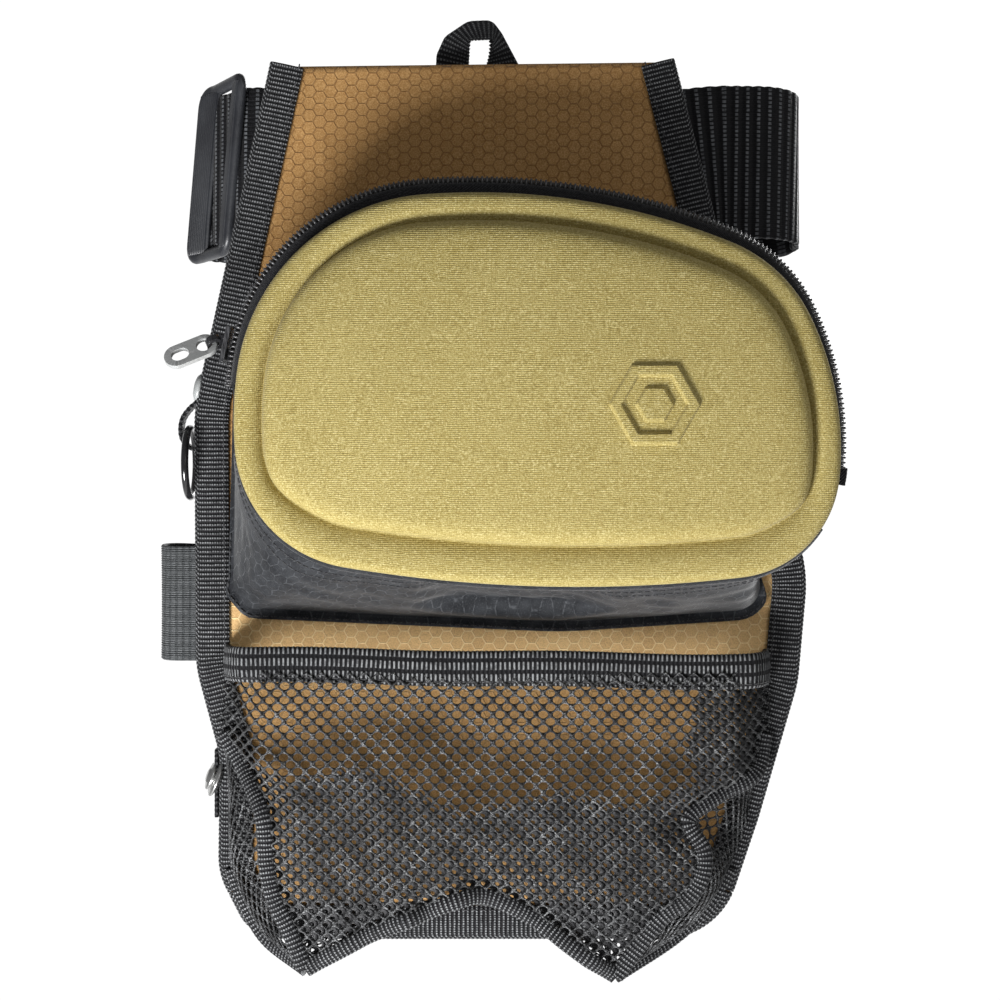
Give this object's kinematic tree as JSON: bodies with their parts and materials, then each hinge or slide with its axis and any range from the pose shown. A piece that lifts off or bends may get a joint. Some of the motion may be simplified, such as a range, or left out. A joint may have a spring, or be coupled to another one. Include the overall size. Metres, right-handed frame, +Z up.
{
  "type": "binocular harness pack",
  "caption": "Belt-worn field pack with a zipped case under a moulded hinged lid, a mesh pocket, a webbing belt with buckle and a stay strap.",
  "frame": {"origin": "centre of the belt sleeve on the rear face of the backpad", "axes": "+Z up as worn, the front of the pack faces -Y, +X to the right of someone who faces the front"},
  "size_m": [0.219, 0.1076, 0.3038],
  "materials": {
    "hex_tan": "hex ripstop, matt",
    "foam": "closed-cell foam",
    "lining": "air mesh lining",
    "grosgrain": "ribbed tape",
    "webbing": "woven webbing",
    "elastic": "ribbed elastic",
    "slate_fabric": "hex ripstop, slate",
    "knit_shell": "moulded foam with knit face",
    "mesh": "knitted net",
    "zip_tape": "woven tape",
    "zip_coil": "nylon coil",
    "slider_black": "black lacquer",
    "pull_silver": "satin silver",
    "acetal": "satin moulded plastic",
    "ring_gloss": "glossy black",
    "nickel": "nickel plate",
    "snap_cap": "light grey cap"
  },
  "bodies": {
    "pack": {"panel_face": "hex_tan", "foam_pad": "foam", "rear_lining": "lining", "binding_left": "grosgrain", "binding_right": "grosgrain", "panel_bottom_binding": "grosgrain", "grab_loop": "webbing", "case_gusset": "slate_fabric", "case_rear_liner": "lining", "case_zip_tape": "zip_tape", "case_zip_coil": "zip_coil", "zip_end_tab": "zip_tape", "pocket_mesh_front": "mesh", "pocket_gusset_left": "mesh", "pocket_gusset_right": "mesh", "pocket_floor": "mesh", "pocket_top_binding": "grosgrain", "pocket_seam_left": "grosgrain", "pocket_seam_right": "grosgrain", "pocket_seam_bottom": "grosgrain", "belt_webbing": "webbing", "belt_slack_run": "webbing", "belt_keeper": "elastic", "belt_sleeve": "lining", "belt_tri_glide": "acetal", "buckle_female": "acetal", "elastic_strap": "elastic", "elastic_anchor": "webbing", "elastic_hook": "acetal", "ring_tab": "webbing", "upper_snap": "snap_cap", "lower_tab": "webbing", "lower_snap": "nickel"},
    "lid": {"lid_shell": "knit_shell", "lid_liner": "lining", "lid_zip_coil": "zip_coil", "lid_zip_tape": "zip_tape", "lid_hinge_strip": "slate_fabric"},
    "slider": {"zip_slider": "slider_black"},
    "pull": {"pull_tab": "pull_silver"},
    "ring": {"side_ring": "ring_gloss"},
    "male_buckle": {"buckle_male": "acetal", "buckle_male_loop": "webbing"}
  },
  "joints": [
    {"name": "lid_hinge", "type": "hinge", "parent": "pack", "child": "lid", "pos_m": [0.018, -0.0385, -0.1362], "axis": [1, 0, 0], "range_deg": [0, 100]},
    {"name": "zip_run", "type": "hinge", "parent": "pack", "child": "slider", "pos_m": [-0.01921, -0.0396, -0.0751], "axis": [0, 1, 0], "range_deg": [0, 66]},
    {"name": "pull_swing", "type": "hinge", "parent": "slider", "child": "pull", "pos_m": [-0.08778, -0.0396, -0.06053], "axis": [-0.4355, 0.4995, 0.7489], "range_deg": [-40, 35]},
    {"name": "ring_swing", "type": "hinge", "parent": "pack", "child": "ring", "pos_m": [-0.1011, -0.003, -0.0855], "axis": [0, 1, 0], "range_deg": [0, 95]},
    {"name": "buckle_release", "type": "slide", "parent": "pack", "child": "male_buckle", "axis": [1, 0, 0], "range_m": [0, 0.025], "deforming": ["belt_slack_run"]}
  ]
}
